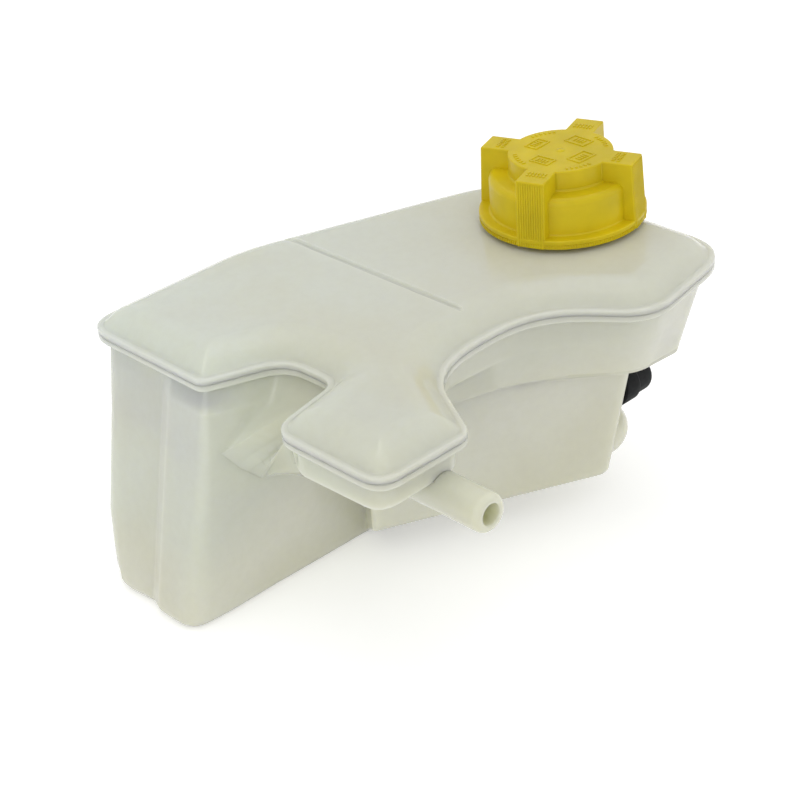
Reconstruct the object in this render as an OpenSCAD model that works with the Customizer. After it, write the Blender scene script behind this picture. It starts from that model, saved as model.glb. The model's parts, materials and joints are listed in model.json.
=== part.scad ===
// Coolant expansion tank: two moulded shells welded at a flange, a valved screw cap and hose stubs.
// Millimetres, +Z up. X runs along the tank, the filler neck is at the +X end, -Y is the front.
// The origin is at the middle of the base of the whole part.

/* [Tank shells] */
// Thickness of the moulded walls
wall = 3; // [2.4:0.1:3.4]
// Width of the weld flange outside the walls
flange_w = 4.2; // [3.5:0.1:5]
// Thickness of each half of the weld flange
flange_t = 2.8; // [2:0.1:3.4]
// Height of the weld line below the cap's lower edge
weld_drop = 12; // [11:0.5:13]
// Depth of the left chamber's floor below the cap's lower edge
deep_floor = 118.5; // [115:0.5:121]
// Depth of the right chamber's floor below the cap's lower edge
shallow_floor = 104; // [100:0.5:106]
// Depth of the ledge that runs along the right front wall
ledge_drop = 46; // [44:0.5:48]
// Set-back of the wall below that ledge
ledge_step = 1.5; // [1:0.1:2.5]

/* [Filler neck] */
// Outer radius of the neck tube
neck_r = 24; // [23.5:0.1:24.5]
// Radius of the neck bore
neck_bore_r = 20.5; // [20.3:0.05:20.8]
// Height of the neck's rim above the cap's lower edge
neck_top = 12; // [11.5:0.1:12.2]
// Height of the neck's thread ridges
thread_h = 2.2; // [1.8:0.1:2.6]

/* [Cap] */
// Radius of the cap's lower flange
cap_r = 35; // [34.5:0.1:36]
// Radius of the drum between flange and hub
drum_r = 30.2; // [30:0.1:31]
// Radius of the hub at the top
hub_r = 21.8; // [21.5:0.1:22.5]
// Height of the cap
cap_h = 28.9; // [28:0.1:30]
// Reach of the four lugs from the axis
lug_reach = 33.6; // [33:0.1:34]
// Half width of a lug
lug_half = 6.2; // [5.5:0.1:7]
// Angle of the first lug about the axis
lug_turn = 20.1; // [10:0.1:30]
// Depth of the grip ribs on the lugs' outer faces
rib_depth = 0.5; // [0.3:0.1:0.7]
// Grip ribs on a lug
rib_count = 9; // [7:1:11]

/* [Valves] */
// Outer radius of the valve housing in the neck
housing_r = 19.8; // [19.6:0.05:20]
// Wire radius of the pressure spring
spring_wire = 0.9; // [0.7:0.05:1.1]
// Coils of the pressure spring
spring_coils = 6; // [5:1:7]

/* [Stubs and ears] */
// Outer radius of the front bleed stub
bleed_r = 7.7; // [7.4:0.05:8.4]
// Distance of the bleed stub's end in front of the neck axis
bleed_end = 101.6; // [98:0.1:104]
// Bore radius of the front bleed stub
bleed_bore_r = 4.2; // [3.8:0.1:5]
// Outer radius of the lower outlet stub
outlet_r = 9; // [8.5:0.1:9.5]
// Outer radius of the upper stub under the rubber cap
stub_r = 6.5; // [6:0.1:7]
// Bore radius of the steel sleeves, for an M6 bolt
sleeve_bore_r = 3.3; // [3.2:0.05:3.5]
// Reach of the mounting ears from the rear wall
ear_reach = 24.6; // [22:0.1:28]

/* [Hidden] */

// Colours
milky = [0.83, 0.86, 0.80];
yellow = [0.86, 0.76, 0.16];
black = [0.12, 0.12, 0.13];
steel = [0.62, 0.63, 0.65];
brass = [0.74, 0.60, 0.30];

$fn = 72;
corner_steps = 4;

// The neck axis and the cap's lower edge, from the middle of the base of the whole part.
end_wall_x = -198.5;
rear_wall_y = 93.4;
neck_x = -(end_wall_x + cap_r) / 2;
neck_y = (bleed_end - rear_wall_y - ear_reach) / 2;
neck_z = deep_floor;
module at_neck() {
    translate([neck_x, neck_y, neck_z])
        children();
}

// Shapes that are cut away reach past the surface they leave by this much.
past = 1;

// Points on an arc about [x, y], in equal steps.
function arc(x, y, r, from, to, steps = 5) =
    [for (i = [0:steps]) let (a = from + (to - from) * i / steps) [x + r * cos(a), y + r * sin(a)]];

// Corners of the outline at the weld line, from the rear left corner anticlockwise seen from above.
// Each is x, y and the setback of its curve along both of its edges.
weld_plan = [
    [-178, 98, 14],      // rear left
    [-178, 54, 2],       // end wall, rear panel
    [-178, 46, 2],       // end wall, front panel
    [-178, 24.5, 4],     // front left
    [-146, 11.5, 10],    // left bay, rear
    [-145.5, -16, 9],    // left bay, front
    [-160.8, -19, 1],    // ridge between the left bay and the nose
    [-183.2, -23.5, 11], // nose, rear left
    [-183.2, -81, 11],   // nose, front left
    [-138.5, -81, 6],    // nose, front right
    [-115.3, -36.5, 31], // right bay, left side
    [-57.5, -36.5, 21],  // right bay, right side
    [-29.5, -75.2, 14],  // right front
    [30.5, -63.7, 20],   // front right end
    [30.5, 51.6, 38],    // rear right
    [-60, 83.9, 4],      // rear wall, right of the chamber step
    [-100.5, 98, 14]     // rear wall, left of the chamber step
];
corner_count = len(weld_plan);

// Corners below the flange that the walls pass through, as x, y, z below the cap's edge, setback.
nose_level = [
    [-177.8, 93.8, -24, 15],
    [-175, 54, -24, 1.5],
    [-177.6, 47, -24, 1.5],
    [-179, 23.8, -24, 2.5],
    [-150, 15, -26, 10],
    [-148, -12, -27, 8],
    [-170.9, -17.2, -19.3, 1.5],
    [-180.5, -33, -25.8, 5],
    [-181, -77.5, -24.2, 9],
    [-142, -77.5, -23.5, 8],
    [-115, -29, -28, 26],
    [-58, -31, -28, 20],
    [-25.5, -67, -28, 12],
    [15, -60.5, -28, 9],
    [15, 45, -28, 30],
    [-60, 78.5, -28, 4],
    [-100.5, 93, -26, 14]
];
ledge_level = [
    [-182.8, 93.2, -ledge_drop, 17],
    [-180, 54, -ledge_drop, 1.5],
    [-182.7, 47, -ledge_drop, 1.5],
    [-182.7, 23, -ledge_drop, 6],
    [-175, 22.3, -41.5, 2],
    [-166, 22, -53.5, 4],
    [-157, 21.8, -62.3, 1.2],
    [-153.5, 21.7, -63.3, 1.2],
    [-136, 21.5, -60.5, 5],
    [-106, 21.5, -59, 3],
    [-117, 1, -50, 6],
    [-54.5, -28.5, -ledge_drop, 16],
    [-23, -58.8, -ledge_drop, 7],
    [3.5, -60.5, -ledge_drop, 5],
    [3.5, 43, -ledge_drop, 24],
    [-60, 77.5, -ledge_drop, 4],
    [-100.5, 92, -ledge_drop, 14]
];
under_ledge = -ledge_drop - ledge_step;
chamber_top = [
    [-183.2, 93.2, under_ledge, 17],
    [-180.4, 54, under_ledge, 1.5],
    [-183.2, 47, under_ledge, 1.5],
    [-187.4, 23.5, -66, 6],
    [-176, 22.3, -66, 3],
    [-166, 22, -66, 4],
    [-157, 22, -66, 1.2],
    [-153.5, 22, -66, 1.2],
    [-137, 22, -66, 5],
    [-106, 22, -66, 3],
    [-117, 3.8, -54, 3],
    [-66, -20.5, under_ledge, 10],
    [-8, -48.4, under_ledge, 8],
    [-6, 0, under_ledge, 10],
    [-6, 47.5, under_ledge, 14],
    [-60, 77, under_ledge, 4],
    [-100.5, 91.5, under_ledge, 14]
];
base_round = 4.5;
deep_z = -deep_floor + base_round;
shallow_z = -shallow_floor + base_round;
base_level = [
    [-198.2, 92, deep_z, 28],
    [end_wall_x + 2.8, 54, deep_z, 1.5],
    [end_wall_x, 47, deep_z, 1.5],
    [end_wall_x, 25.5, deep_z, 10],
    [-178, 24, deep_z, 3],
    [-166, 24, deep_z, 4],
    [-157, 24, deep_z, 1.2],
    [-153.5, 24, deep_z, 1.2],
    [-138, 23.6, deep_z, 5],
    [-105, 23, deep_z, 3],
    [-117, 4.2, shallow_z, 3],
    [-66, -20, shallow_z, 10],
    [-18, -43, shallow_z, 9],
    [-17, 0, shallow_z, 10],
    [-17, 51, shallow_z, 15],
    [-60, 75, shallow_z, 4],
    [-100.5, 90, deep_z, 14]
];

// Outline corners lifted to one height.
function at_height(plan, z) = [for (c = plan) [c[0], c[1], z, c[2]]];

// Unit vector and left-hand normal in plan.
function flat_unit(v) = [v[0], v[1]] / norm([v[0], v[1]]);
function left_of(v) = [-v[1], v[0]];

// Corners moved into the body by d, with their curves kept parallel, and lifted by dz.
function inset(cs, d, dz = 0) = [
    for (i = [0:len(cs) - 1])
    let (
        before = cs[(i + len(cs) - 1) % len(cs)],
        here = cs[i],
        after = cs[(i + 1) % len(cs)],
        n1 = left_of(flat_unit(here - before)),
        n2 = left_of(flat_unit(after - here)),
        k = 1 + n1 * n2,
        turn = n1[0] * n2[1] - n1[1] * n2[0],
        shift = (n1 + n2) * d / k
    )
    [here[0] + shift[0], here[1] + shift[1], here[2] + dz, max(here[3] - d * turn / k, 1.2)]
];

// A closed ring of points: each corner becomes a curve that leaves its edges smoothly.
function ring(cs) = [
    for (i = [0:len(cs) - 1])
    let (
        c = [cs[i][0], cs[i][1], cs[i][2]],
        b = cs[(i + len(cs) - 1) % len(cs)],
        a = cs[(i + 1) % len(cs)],
        to_b = [b[0], b[1], b[2]] - c,
        to_a = [a[0], a[1], a[2]] - c,
        p = c + to_b * min(cs[i][3] / norm(to_b), 0.48),
        q = c + to_a * min(cs[i][3] / norm(to_a), 0.48)
    )
    for (s = [0:corner_steps])
    let (t = s / corner_steps)
    p * (1 - t) * (1 - t) + c * 2 * t * (1 - t) + q * t * t
];

per_corner = corner_steps + 1;
ring_size = corner_count * per_corner;
function corner_points(first, last) = [for (i = [first * per_corner:(last + 1) * per_corner - 1]) i];
function turned(list, by) = [for (i = [0:len(list) - 1]) list[(i + by) % len(list)]];
function backwards(list) = [for (i = [len(list) - 1:-1:0]) list[i]];
function shifted(list, by) = [for (i = list) i + by];

// Triangles that meet at a face's first point.
function fan(face) = [for (i = [1:len(face) - 2]) [face[0], face[i], face[i + 1]]];

// Corner numbers that split an end of a ring into faces.
bay_rear = 4;
bay_front = 5;
ridge = 6;
nose_rear = 7;
nose_left = 8;
nose_right = 9;
bay_right = 10;
rear_right = 15;
rear_left = 16;

// The weld outline ends in a main face seen from the rear wall and a nose face seen from its corner.
nose_face = turned([for (i = [bay_front * per_corner:bay_right * per_corner]) i],
    (nose_left - bay_front) * per_corner + 2);
main_face = turned(concat(
    [for (i = [0:bay_front * per_corner]) i],
    [for (i = [bay_right * per_corner:ring_size - 1]) i]),
    bay_front * per_corner + 1 + (rear_right - bay_right) * per_corner);
outline_ends = concat(fan(main_face), fan(nose_face));

// The base ends in a deep floor, a shallow floor and the step between them.
deep_floor_face = turned(
    concat(corner_points(rear_left, rear_left), corner_points(0, nose_right)), corner_steps);
shallow_floor_face = turned(
    corner_points(bay_right, rear_right), (rear_right - bay_right) * per_corner - 1);
step_face = [bay_right * per_corner - 1, bay_right * per_corner,
    rear_left * per_corner - 1, rear_left * per_corner];
base_ends = concat(fan(deep_floor_face), fan(shallow_floor_face), fan(step_face));

// Closed solid through a stack of rings, from the topmost outer ring round to the inner end ring.
module loft(rings, first_ends, last_ends) {
    sides = [
        for (r = [0:len(rings) - 2], i = [0:ring_size - 1])
        let (
            j = (i + 1) % ring_size,
            p = r * ring_size,
            q = p + ring_size
        )
        each [[p + i, p + j, q + i], [p + j, q + j, q + i]]
    ];
    last = (len(rings) - 1) * ring_size;
    polyhedron(
        points = [for (r = rings) each r],
        faces = concat(
            sides,
            [for (f = first_ends) backwards(f)],
            [for (f = last_ends) shifted(f, last)]));
}

weld_z = -weld_drop;
weld_ring = at_height(weld_plan, weld_z);
roof_z = -1.7;

// Profile of the roof as inset from the weld outline and height, from the crown out to the flange.
roof_profile = [
    [17.5, roof_z], [14, -2.05], [10.8, -3.1], [7.8, -4.7], [5.4, -6.7], [3.5, -8.4],
    [2.2, weld_z + flange_t], [0.8, weld_z + flange_t], [0, weld_z + flange_t - 0.8], [0, weld_z]
];
ceiling_profile = [
    [flange_w + wall, weld_z], [8.6, -9.2], [11, -6.7], [14, -5.2], [17.5, roof_z - wall]
];

// Neck, thread, rib and groove.
neck_fillet = 1.2;
thread_z = 4.5;
thread_arc = 36;
thread_gap = 4;
thread_arcs = 2;
thread_rise = 1.1;
thread_starts = 3;
thread_reach = 1.2;
thread_slope = 0.6;
baffle_x = -84.5;
baffle_t = 2.2;
baffle_top = -20;
baffle_foot = -shallow_floor + wall / 2;
baffle_outline = [
    [-10.3, baffle_foot], [82.3, baffle_foot], [84.6, -50], [86.5, baffle_top], [-31, baffle_top],
    [-28, -28], [-11.5, -46], [-10.3, -50]
];
flow_r = 7;
lower_flow_y = [6, 66];
upper_flow_y = 36;
rib_front_y = -18;
rib_rear_y = 74;
rib_h = 8;
groove_w = 2.4;
groove_d = 0.5;
groove_front_y = -26;
groove_rear_y = 92.4;
shoulder_slant = 1.06;

// Cap and the room between it and the valve housing that turns in it.
flange_top = 4;
drum_top = 19.8;
shoulder_r = 3.4;
lug_bevel = 1.2;
lug_root = 6;
cap_thread_turn = 60;
cap_thread_z = 1.5;
thread_root = 0.5;
cap_bore_r = 27.9;
cap_ceiling = 15.8;
hub_ceiling = 25.4;
boss_r = 17.5;
boss_top = 22;
snap_r = 17.2;
snap_h = 1.2;
gap = 0.3;

// Valve housing and what it holds.
housing_bottom = -14;
housing_flange_top = 15.5;
gasket_z = 12.15;
gasket_h = 1.35;
groove_r = 18;
groove_h = 3;
oring_wire = 1.05;
chamber_r = 15;
seat_r = 9;
seat_z = -12;
lip_z = -11.3;
cover_z = 19;
cover_t = 2;
cover_boss_h = 3;
cover_bore_r = 4;
spring_play = 0.6;
vent_r = 1;
vent_at = 13.1;
plate_z = -9.5;
plate_t = 2;
plate_r = 14.2;
weep_r = 0.7;
weep_at = 3.5;
seal_inset = 1.4;
seal_t = 1.6;
seal_bore_r = 4.6;
coil_r = 10.5;
wire_sides = 6;
vacuum_coil_r = 2.7;
vacuum_wire = 0.3;
vacuum_coils = 4;
stem_r = 1.6;
poppet_r = 6.2;
poppet_t = 1.3;
poppet_z = -12.7;
clip_z = -2.5;
clip_t = 1;
clip_r = 3.6;
stem_end = 0.6;

// Stubs on the nose and on the right end wall.
bleed_x = -150.5;
bleed_z = -29.9;
bleed_root = 38;
bleed_run = 80;
root_draft = 0.4;
tip_round = 3;
bleed_floor = [76, -20, 20.4];
root_cut_y = 60;
root_cut_z = 30;
stub_root_x = -18;
outlet_y = -30;
outlet_z = -91;
outlet_bend_x = -14;
outlet_bend_r = 11;
outlet_end_y = 14;
outlet_bore_r = 6.2;
upper_stub_y = -34.2;
upper_stub_z = -67;
upper_stub_end_x = 2;
upper_bore_r = 4;
blank_x = -12.5;
blank_r = 9;
blank_collar_h = 10;
blank_h = 20.6;
blank_tip_r = blank_r - 1;
blank_round = 3.5;
blank_fit = 0.05;
blank_top_t = 2.5;
end_wall_slope = 11.95;
end_wall_here = -10.6;

// Mounting ears and their sleeves.
ear_walls = [[-145, rear_wall_y, 0], [-40, 69.9, -23]];
ear_z = -30;
ear_r = 11;
ear_t = 5;
ear_sink = 2;
gusset_t = 3;
gusset_h = 14;
lid_inset = 17.5;
sleeve_r = 4.8;
sleeve_h = 7;

module neck_tube() {
    translate([0, 0, roof_z - wall])
        cylinder(r = neck_r, h = neck_top - roof_z + wall);
    translate([0, 0, roof_z - neck_fillet])
        cylinder(r1 = neck_r + 2 * neck_fillet, r2 = neck_r, h = 2 * neck_fillet);
}

// Interrupted thread: three ramps, each in short arcs that step up round the neck.
module neck_thread() {
    for (start = [0:thread_starts - 1], step = [0:thread_arcs - 1])
        rotate([0, 0, start * 360 / thread_starts + step * (thread_arc + thread_gap)])
            translate([0, 0, thread_z + step * thread_rise])
                rotate_extrude(angle = thread_arc)
                    polygon([
                        [neck_r - thread_root, 0], [neck_r + thread_reach, thread_slope],
                        [neck_r + thread_reach, thread_h - thread_slope], [neck_r - thread_root, thread_h]]);
}

// Upright rib under the roof, which meets the baffle in the lower shell.
module roof_rib() {
    translate([baffle_x - baffle_t / 2, rib_front_y, weld_z])
        cube([baffle_t, rib_rear_y - rib_front_y, rib_h]);
}

// Groove that the rib's weld leaves across the roof and down its rear shoulder.
module roof_groove() {
    shoulder = [
        for (p = roof_profile)
        if (p[1] > weld_z + flange_t) [groove_rear_y - shoulder_slant * p[0], p[1] - groove_d]
    ];
    translate([baffle_x + groove_w / 2, 0, 0])
        rotate([90, 0, -90])
            linear_extrude(groove_w)
                mirror([1, 0])
                    polygon(concat(
                        [[groove_front_y, roof_z + past], [groove_front_y + 2, roof_z - groove_d]],
                        shoulder,
                        [[groove_rear_y, weld_z + flange_t - groove_d], [groove_rear_y, roof_z + past]]));
}

module upper_shell() {
    color(milky) at_neck()
        difference() {
            union() {
                loft(
                    [for (p = concat(roof_profile, ceiling_profile))
                        ring(inset(weld_ring, p[0], p[1] - weld_z))],
                    outline_ends, outline_ends);
                neck_tube();
                neck_thread();
                roof_rib();
            }
            translate([0, 0, roof_z - 2 * wall])
                cylinder(r = neck_bore_r, h = neck_top - roof_z + 2 * wall + past);
            roof_groove();
        }
}

// Underside of the nose just inside its walls' lower edge, with all other corners on their way down.
under_nose = [
    for (i = [0:corner_count - 1])
    i == nose_rear ? [-175.5, -27.5, -28.5, 4] :
    i == nose_left ? [-174.5, -71, -26.5, 8] :
    i == nose_right ? [-147, -71, -26, 8] :
    nose_level[i] * 0.92 + ledge_level[i] * 0.08
];

// Base outline at an angle round the foot of the walls.
function foot_ring(a, inwards = 0) =
    inset(base_level, base_round * (1 - cos(a)) + inwards, inwards - base_round * sin(a));

// Inner corners: above the ledge and the nose's floor, but below the scooped bay that faces up.
scoop_sink = 2;
function inside(cs) = [
    for (i = [0:corner_count - 1])
    inset(cs, wall, i == ridge ? 0 : i == bay_rear || i == bay_front ? -scoop_sink : wall)[i]
];

// Outer walls of the lower shell from the weld line down to the base, and inner walls up from the floor.
lower_outer = [
    weld_ring,
    inset(weld_ring, 0, -flange_t + 0.5),
    inset(weld_ring, 0.6, -flange_t),
    inset(weld_ring, flange_w, -flange_t - 0.4),
    nose_level,
    under_nose,
    ledge_level,
    chamber_top,
    foot_ring(0),
    foot_ring(45),
    foot_ring(90)
];
lower_inner = [
    foot_ring(90, wall),
    foot_ring(45, wall),
    inside(chamber_top),
    inside(ledge_level),
    inside(under_nose),
    inset(nose_level, wall, wall - 0.5),
    inset(weld_ring, flange_w + wall, -flange_t),
    inset(weld_ring, flange_w + wall)
];

// Wall between the two chambers' ends, with openings that let the coolant through slowly.
module baffle() {
    translate([baffle_x - baffle_t / 2, 0, 0])
        rotate([90, 0, 90])
            linear_extrude(baffle_t)
                difference() {
                    polygon(baffle_outline);
                    for (y = lower_flow_y)
                        translate([y, -shallow_floor + wall])
                            circle(r = flow_r);
                    translate([upper_flow_y, baffle_top])
                        circle(r = 1.5 * flow_r);
                }
}

// Stub along +Z with its bore left to be cut: a drafted root, a plain run for the hose and a round tip.
module stub(r, root, length) {
    rotate_extrude()
        polygon(concat(
            [[0, 0], [r + root_draft, 0], [r, root]],
            arc(r - tip_round, length - tip_round, tip_round, 0, 75),
            [[0, length]]));
}

// The bleed stub leaves the nose to the front, and its root is cut off level with the nose's floor.
module bleed_stub() {
    difference() {
        translate([bleed_x, -bleed_root, bleed_z])
            rotate([90, 0, 0])
                stub(bleed_r, bleed_run - bleed_root, bleed_end - bleed_root);
        translate([bleed_x - 2 * bleed_r, -bleed_floor[0], bleed_floor[1]])
            rotate([-bleed_floor[2], 0, 0])
                cube([4 * bleed_r, root_cut_y, root_cut_z]);
    }
}

// Round path of the outlet: out of the end wall along +X and round an elbow towards the rear.
module outlet_path(r, root_x) {
    translate([root_x, outlet_y, outlet_z])
        rotate([0, 90, 0])
            cylinder(r = r, h = outlet_bend_x - root_x);
    translate([outlet_bend_x, outlet_y + outlet_bend_r, outlet_z])
        rotate([0, 0, -90])
            rotate_extrude(angle = 90)
                translate([outlet_bend_r, 0])
                    circle(r = r);
}

module outlet_stub() {
    outlet_path(outlet_r, stub_root_x);
    translate([outlet_bend_x + outlet_bend_r, outlet_y + outlet_bend_r, outlet_z])
        rotate([-90, 0, 0])
            stub(outlet_r, root_draft, outlet_end_y - outlet_y - outlet_bend_r);
}

module outlet_bore() {
    outlet_path(outlet_bore_r, stub_root_x - wall);
    translate([outlet_bend_x + outlet_bend_r, outlet_y + outlet_bend_r, outlet_z])
        rotate([-90, 0, 0])
            cylinder(r = outlet_bore_r, h = outlet_end_y - outlet_y - outlet_bend_r + past);
}

module upper_stub() {
    translate([stub_root_x, upper_stub_y, upper_stub_z])
        rotate([0, 90, 0])
            cylinder(r = stub_r, h = upper_stub_end_x - stub_root_x);
}

module stub_bores() {
    translate([bleed_x, -bleed_root - 5, bleed_z])
        rotate([90, 0, 0])
            cylinder(r = bleed_bore_r, h = bleed_end - bleed_root + past);
    outlet_bore();
    translate([stub_root_x - wall, upper_stub_y, upper_stub_z])
        rotate([0, 90, 0])
            cylinder(r = upper_bore_r, h = upper_stub_end_x - stub_root_x + wall + past);
}

// Moves to a point on the rear wall given as x, y and the wall's turn, with +Y pointing away from it.
module on_rear_wall(at) {
    translate([at[0], at[1], ear_z])
        rotate([0, 0, at[2]])
            children();
}

// Mounting ear: a plate with a round end, a gusset under it and a hole for its sleeve.
module ear() {
    difference() {
        union() {
            translate([-ear_r, -ear_sink, -ear_t / 2])
                cube([2 * ear_r, ear_reach - ear_r + ear_sink, ear_t]);
            translate([0, ear_reach - ear_r, -ear_t / 2])
                cylinder(r = ear_r, h = ear_t);
        }
        translate([0, ear_reach - ear_r, -ear_t / 2 - past])
            cylinder(r = sleeve_r, h = ear_t + 2 * past);
    }
    translate([-gusset_t / 2, 0, 0])
        rotate([90, 0, 90])
            linear_extrude(gusset_t)
                polygon([
                    [-ear_sink, 0], [-2 * ear_sink, -gusset_h], [0, -gusset_h],
                    [ear_reach - 2 * ear_r + 4, -ear_t / 2], [ear_reach - 2 * ear_r + 4, 0]]);
}

module lower_shell() {
    color(milky) at_neck()
        difference() {
            union() {
                loft([for (cs = concat(lower_inner, lower_outer)) ring(cs)], base_ends, base_ends);
                baffle();
                bleed_stub();
                outlet_stub();
                upper_stub();
            }
            stub_bores();
        }
}

// The lower shell filled in, which the ears' feet are fitted to.
module lower_solid() {
    lid = inset(weld_ring, lid_inset, flange_t);
    loft([for (cs = concat([lid], lower_outer)) ring(cs)], outline_ends, base_ends);
}

// Ear fitted to the rear wall, where its foot is welded on.
module fitted_ear(at) {
    color(milky) at_neck()
        difference() {
            on_rear_wall(at)
                ear();
            lower_solid();
        }
}

module left_ear() {
    fitted_ear(ear_walls[0]);
}

module right_ear() {
    fitted_ear(ear_walls[1]);
}

// Outer profile of the cap: flange, drum with a round shoulder, hub.
cap_profile = concat(
    [[0, 0], [cap_r - 0.5, 0], [cap_r, 0.5], [cap_r, flange_top - 0.8], [cap_r - 0.8, flange_top],
        [drum_r + 1, flange_top], [drum_r, flange_top + 1]],
    arc(drum_r - shoulder_r, drum_top - shoulder_r, shoulder_r, 0, 90),
    [[hub_r + 0.8, drum_top], [hub_r, drum_top + 0.8]],
    arc(hub_r - 0.8, cap_h - 0.8, 0.8, 0, 90, 3),
    [[0, cap_h]]);

// Plan of a lug along +X from the hub to its ribbed face.
function lug_plan(reach) =
    let (pitch = 2 * lug_half / (rib_count + 1), root = hub_r - lug_root)
    concat(
        [[root, -lug_half], [reach, -lug_half]],
        [for (i = [0:rib_count - 1]) let (y = -lug_half + (i + 0.7) * pitch)
            each [[reach, y - 0.1 * pitch], [reach - rib_depth, y + 0.1 * pitch],
                [reach - rib_depth, y + 0.5 * pitch], [reach, y + 0.7 * pitch]]],
        [[reach, lug_half], [root, lug_half]]);

module lug() {
    difference() {
        linear_extrude(cap_h)
            polygon(lug_plan(lug_reach));
        translate([lug_reach, 0, cap_h])
            rotate([0, 45, 0])
                cube([2 * lug_bevel, 2 * lug_half + 2 * past, 2 * lug_bevel], center = true);
    }
    linear_extrude(flange_top)
        polygon(lug_plan(cap_r - 0.1));
}

module cap_thread() {
    for (start = [0:thread_starts - 1], step = [0:thread_arcs - 1])
        rotate([0, 0, cap_thread_turn + start * 360 / thread_starts + step * (thread_arc + thread_gap)])
            translate([0, 0, cap_thread_z + step * thread_rise])
                rotate_extrude(angle = thread_arc)
                    polygon([
                        [cap_bore_r + thread_root, 0], [cap_bore_r - thread_reach, thread_slope],
                        [cap_bore_r - thread_reach, thread_h - thread_slope], [cap_bore_r + thread_root, thread_h]]);
}

module cap_shell() {
    color(yellow) at_neck() {
        difference() {
            union() {
                rotate_extrude()
                    polygon(cap_profile);
                for (i = [0:3])
                    rotate([0, 0, lug_turn + i * 90])
                        lug();
            }
            translate([0, 0, -past])
                cylinder(r = cap_bore_r, h = cap_ceiling + past);
            rotate_extrude()
                polygon([
                    [0, cap_ceiling - past], [snap_r, cap_ceiling - past], [snap_r, cap_ceiling + snap_h],
                    [boss_r + gap, cap_ceiling + snap_h], [boss_r + gap, hub_ceiling - 1],
                    [boss_r + gap - 1, hub_ceiling], [0, hub_ceiling]]);
        }
        cap_thread();
    }
}

// One turned body that hangs in the neck: flange, O-ring groove, chamber, seat and snap boss.
module valve_housing() {
    color(black) at_neck()
        rotate_extrude()
            polygon([
                [seat_r, housing_bottom], [housing_r - 1.5, housing_bottom], [housing_r, housing_bottom + 2],
                [housing_r, 0], [groove_r, 0], [groove_r, groove_h], [housing_r, groove_h],
                [housing_r, gasket_z + gasket_h], [neck_r + 0.5, gasket_z + gasket_h],
                [neck_r + 0.5, housing_flange_top], [snap_r - 0.4, housing_flange_top],
                [snap_r - 0.4, cap_ceiling + snap_h + gap], [boss_r, cap_ceiling + snap_h + gap],
                [boss_r, boss_top - 1], [boss_r - 1, boss_top], [chamber_r - 0.6, boss_top],
                [chamber_r - 0.6, cover_z + cover_t], [chamber_r, cover_z + cover_t],
                [chamber_r, seat_z], [seat_r + 1.2, seat_z], [seat_r + 1.2, lip_z], [seat_r, lip_z]]);
}

module neck_gasket() {
    color(black) at_neck()
        translate([0, 0, gasket_z])
            difference() {
                cylinder(r = neck_r, h = gasket_h);
                translate([0, 0, -past])
                    cylinder(r = neck_bore_r + 0.1, h = gasket_h + 2 * past);
            }
}

module housing_oring() {
    color(black) at_neck()
        translate([0, 0, groove_h / 2])
            rotate_extrude()
                translate([groove_r + oring_wire, 0])
                    circle(r = oring_wire, $fn = 24);
}

// Holes spaced evenly round an axis.
module ring_of_holes(count, r, at, h) {
    for (i = [0:count - 1])
        rotate([0, 0, i * 360 / count])
            translate([at, 0, -past])
                cylinder(r = r, h = h + 2 * past, $fn = 24);
}

module spring_cover() {
    color(black) at_neck()
        translate([0, 0, cover_z])
            difference() {
                union() {
                    cylinder(r = chamber_r, h = cover_t);
                    translate([0, 0, -cover_boss_h])
                        cylinder(r = coil_r - spring_wire - spring_play, h = cover_boss_h + cover_t);
                }
                translate([0, 0, -cover_boss_h - past])
                    cylinder(r = cover_bore_r, h = cover_boss_h + cover_t + 2 * past);
                ring_of_holes(6, vent_r, vent_at, cover_t);
            }
}

module pressure_plate() {
    color(steel) at_neck()
        translate([0, 0, plate_z])
            difference() {
                cylinder(r = plate_r, h = plate_t);
                translate([0, 0, -past])
                    cylinder(r = stem_r + 0.3, h = plate_t + 2 * past);
                ring_of_holes(4, weep_r, weep_at, plate_t);
            }
}

module pressure_seal() {
    color(black) at_neck()
        translate([0, 0, plate_z - seal_t])
            difference() {
                cylinder(r = plate_r - seal_inset, h = seal_t);
                translate([0, 0, -past])
                    cylinder(r = seal_bore_r, h = seal_t + 2 * past);
            }
}

// Round wire wound into a coil, with its ends cut square.
module coil(mean_r, wire, low, high, turns, steps) {
    sides = wire_sides;
    count = turns * steps;
    rise = (high - low - 2 * wire) / count;
    points = [
        for (i = [0:count], k = [0:sides - 1])
        let (
            a = i * 360 / steps,
            b = k * 360 / sides,
            r = mean_r + wire * cos(b)
        )
        [r * cos(a), r * sin(a), low + wire + i * rise + wire * sin(b)]
    ];
    walls = [
        for (i = [0:count - 1], k = [0:sides - 1])
        let (n = (k + 1) % sides, p = i * sides, q = p + sides)
        each [[p + k, p + n, q + k], [p + n, q + n, q + k]]
    ];
    first_end = [for (k = [sides - 1:-1:0]) k];
    last_end = [for (k = [0:sides - 1]) count * sides + k];
    polyhedron(points = points, faces = concat(walls, [first_end, last_end]));
}

module pressure_spring() {
    color(steel) at_neck()
        coil(coil_r, spring_wire, plate_z + plate_t, cover_z, spring_coils, steps = 18);
}

module vacuum_poppet() {
    color(brass) at_neck() {
        translate([0, 0, poppet_z])
            cylinder(r = poppet_r, h = poppet_t);
        translate([0, 0, poppet_z])
            cylinder(r = stem_r, h = clip_z + clip_t - poppet_z + stem_end);
    }
}

module vacuum_spring() {
    color(steel) at_neck()
        coil(vacuum_coil_r, vacuum_wire, plate_z + plate_t, clip_z, vacuum_coils, steps = 12);
}

module vacuum_clip() {
    color(steel) at_neck()
        translate([0, 0, clip_z])
            difference() {
                cylinder(r = clip_r, h = clip_t);
                translate([0, 0, -past])
                    cylinder(r = stem_r, h = clip_t + 2 * past);
            }
}

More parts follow.
